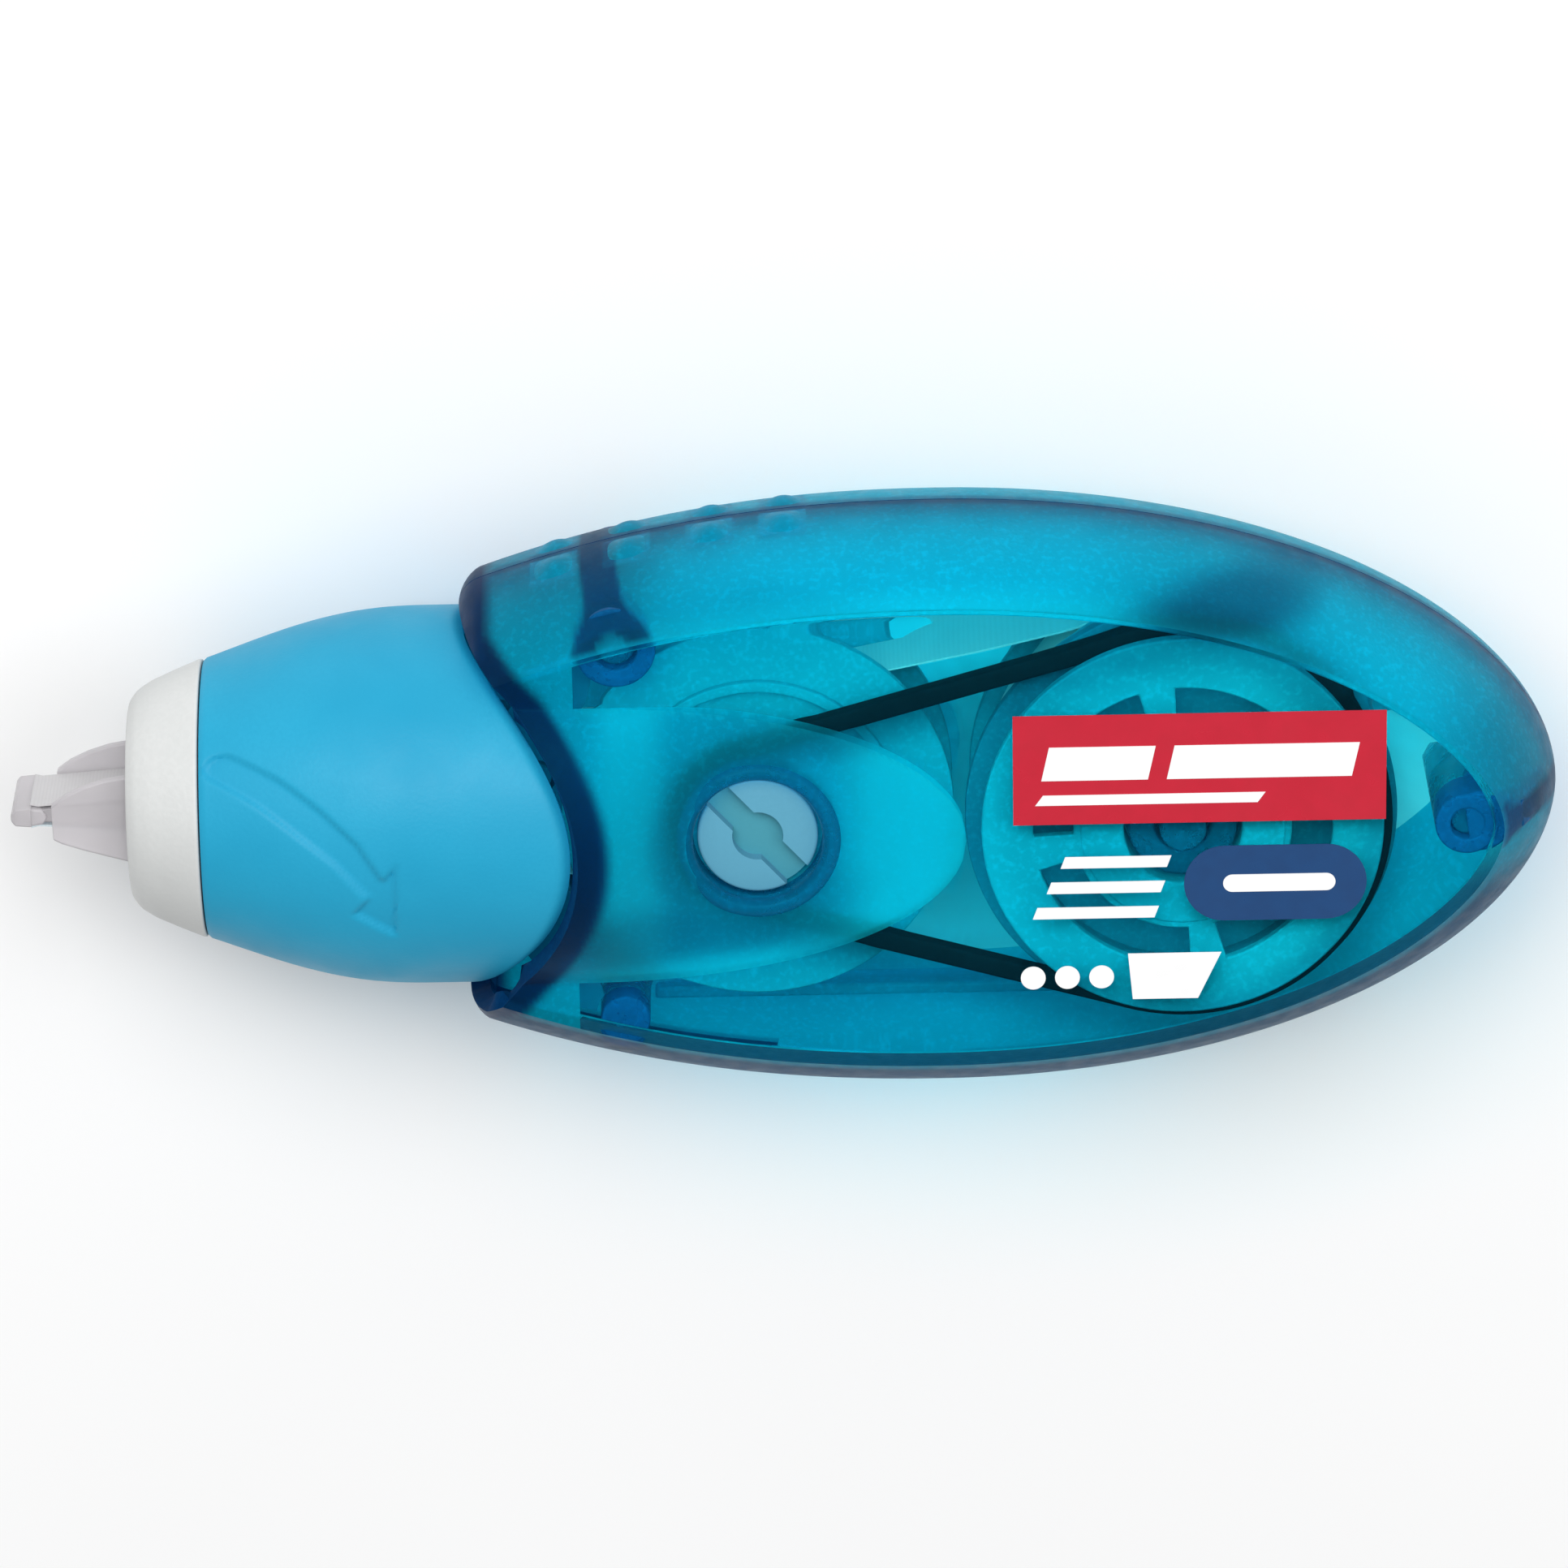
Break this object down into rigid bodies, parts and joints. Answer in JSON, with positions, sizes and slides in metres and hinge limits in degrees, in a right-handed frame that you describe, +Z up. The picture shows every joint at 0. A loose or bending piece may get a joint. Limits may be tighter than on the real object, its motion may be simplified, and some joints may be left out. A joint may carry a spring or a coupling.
{
  "type": "correction tape roller",
  "caption": "Twist-action correction tape roller with a see-through lens-shaped body, belt-driven spools and a sliding nose collar that covers the tip.",
  "frame": {"origin": "middle of the footprint, on the surface that the roller lies on, with its rear side down", "axes": "+X from nose to tail along the barrel axis, +Y across the body's height, +Z up out of the front window"},
  "size_m": [0.1, 0.0394, 0.0264],
  "materials": {
    "shell_blue": "see-through teal-blue moulding, polished window panels and fine-textured sides",
    "frame_clear": "natural clear moulding",
    "tip_clear": "smoky clear moulding",
    "belt_rubber": "matt black rubber",
    "tape_white": "white correction film on a carrier",
    "tape_film": "bare carrier film",
    "collar_white": "satin off-white moulding",
    "grip_blue": "satin light blue moulding",
    "spool_blue": "see-through blue moulding",
    "washer_white": "natural slippery plastic",
    "hub_white": "satin pale blue moulding"
  },
  "bodies": {
    "housing": {"front_shell": "shell_blue", "rear_shell": "shell_blue", "tip_carrier": "frame_clear", "applicator_tip": "tip_clear", "tip_pin": "frame_clear", "upper_guide_pin": "frame_clear", "lower_guide_pin": "frame_clear", "drive_belt": "belt_rubber", "tape_feed_run": "tape_white", "tape_return_run": "tape_film"},
    "nose_slider": {"nose_collar": "collar_white", "collar_retainer": "collar_white"},
    "twist_barrel": {"barrel_grip": "grip_blue", "cam_sleeve": "frame_clear"},
    "supply_spool": {"supply_core": "spool_blue", "supply_rear_flange": "spool_blue", "supply_front_flange": "spool_blue", "supply_tape_pack": "tape_white", "slip_clutch_washer": "washer_white", "supply_pulley": "spool_blue"},
    "takeup_spool": {"takeup_hub": "hub_white", "takeup_core": "spool_blue", "takeup_rear_flange": "spool_blue", "takeup_front_flange": "spool_blue", "takeup_tape_pack": "tape_film", "takeup_pulley": "spool_blue"}
  },
  "joints": [
    {"name": "barrel_twist", "type": "hinge", "parent": "nose_slider", "child": "twist_barrel", "pos_m": [-0.03, 0, 0.0133], "axis": [-1, 0, 0], "range_deg": [0, 90]},
    {"name": "nose_slide", "type": "slide", "parent": "housing", "child": "nose_slider", "axis": [-1, 0, 0], "range_m": [0, 0.0101]},
    {"name": "supply_spin", "type": "hinge", "parent": "housing", "child": "supply_spool", "pos_m": [0.0255, 0, 0.0133], "axis": [0, 0, 1], "continuous": true},
    {"name": "takeup_spin", "type": "hinge", "parent": "housing", "child": "takeup_spool", "pos_m": [-0.00174, 0, 0.0133], "axis": [0, 0, 1], "continuous": true}
  ],
  "couplings": [
    {"joint": "nose_slide", "follows": "barrel_twist", "m_per_rad": 0.0064},
    {"joint": "supply_spin", "follows": "takeup_spin", "ratio": 0.42636}
  ]
}
